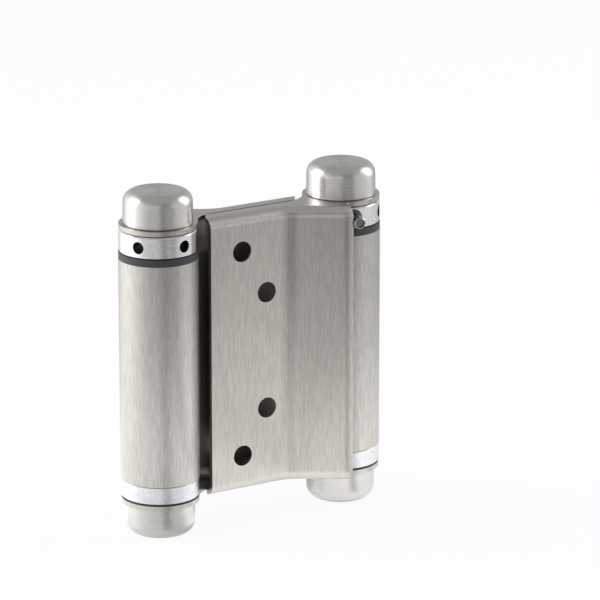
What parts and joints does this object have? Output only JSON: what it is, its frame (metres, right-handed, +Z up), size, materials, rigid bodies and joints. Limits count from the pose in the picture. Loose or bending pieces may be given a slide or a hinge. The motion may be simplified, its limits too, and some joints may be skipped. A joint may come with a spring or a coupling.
{
  "type": "double action spring hinge",
  "caption": "Double action spring hinge: two spring barrels joined by a centre web, a pressed leaf hinged on each, with adjusting collars and tension pins.",
  "frame": {"origin": "centre of the underside of the two bottom caps, midway between the barrels", "axes": "+Z up along the barrels, +X from the left barrel to the right one, -Y the front, the outer face of the right leaf"},
  "size_m": [0.076, 0.0304, 0.0922],
  "materials": {
    "leaf_steel": "satin, brushed along the height",
    "tube_steel": "satin, brushed along the height",
    "cap_steel": "satin, turned",
    "bright_plate": "bright plated",
    "dark_steel": "plain dark steel",
    "spring_steel": "oiled spring wire",
    "black_nylon": "moulded nylon"
  },
  "bodies": {
    "web": {"centre_web": "tube_steel", "anchor_bush_left": "bright_plate", "anchor_bush_right": "bright_plate", "nylon_bearing_left": "black_nylon", "nylon_bearing_right": "black_nylon", "torsion_spring_left": "spring_steel", "torsion_spring_right": "spring_steel"},
    "leaf_left": {"leaf_left": "leaf_steel", "spindle_left": "dark_steel", "top_nut_left": "dark_steel", "bottom_nut_left": "dark_steel", "top_cap_left": "cap_steel", "bottom_cap_left": "cap_steel", "top_thrust_washer_left": "black_nylon", "bottom_thrust_washer_left": "black_nylon"},
    "leaf_right": {"leaf_right": "leaf_steel", "spindle_right": "dark_steel", "top_nut_right": "dark_steel", "bottom_nut_right": "dark_steel", "top_cap_right": "cap_steel", "bottom_cap_right": "cap_steel", "top_thrust_washer_right": "black_nylon", "bottom_thrust_washer_right": "black_nylon"},
    "collar_left": {"adjusting_collar_left": "bright_plate"},
    "collar_right": {"adjusting_collar_right": "bright_plate"},
    "pin_left": {"tension_pin_left": "dark_steel"},
    "pin_right": {"tension_pin_right": "dark_steel"}
  },
  "joints": [
    {"name": "leaf_left_swing", "type": "hinge", "parent": "web", "child": "leaf_left", "pos_m": [-0.02765, 0, 0.0461], "axis": [0, 0, 1], "range_deg": [0, 180], "stiffness_Nm_per_rad": 0.25, "springref_deg": -68.75, "deforming": ["torsion_spring_left"]},
    {"name": "leaf_right_swing", "type": "hinge", "parent": "web", "child": "leaf_right", "pos_m": [0.02765, 0, 0.0461], "axis": [0, 0, 1], "range_deg": [0, 180], "stiffness_Nm_per_rad": 0.25, "springref_deg": -68.75, "deforming": ["torsion_spring_right"]},
    {"name": "collar_left_turn", "type": "hinge", "parent": "leaf_left", "child": "collar_left", "pos_m": [-0.02765, 0, 0.07915], "axis": [0, 0, 1], "range_deg": [0, 60], "stiffness_Nm_per_rad": 0.02, "springref_deg": -57.3},
    {"name": "collar_right_turn", "type": "hinge", "parent": "leaf_right", "child": "collar_right", "pos_m": [0.02765, 0, 0.07915], "axis": [0, 0, 1], "range_deg": [0, 60], "stiffness_Nm_per_rad": 0.02, "springref_deg": -57.3},
    {"name": "pin_left_pull", "type": "slide", "parent": "collar_left", "child": "pin_left", "axis": [0.2181, 0.9759, 0], "range_m": [0, 0.005]},
    {"name": "pin_right_pull", "type": "slide", "parent": "collar_right", "child": "pin_right", "axis": [-0.2181, -0.9759, 0], "range_m": [0, 0.005]}
  ]
}
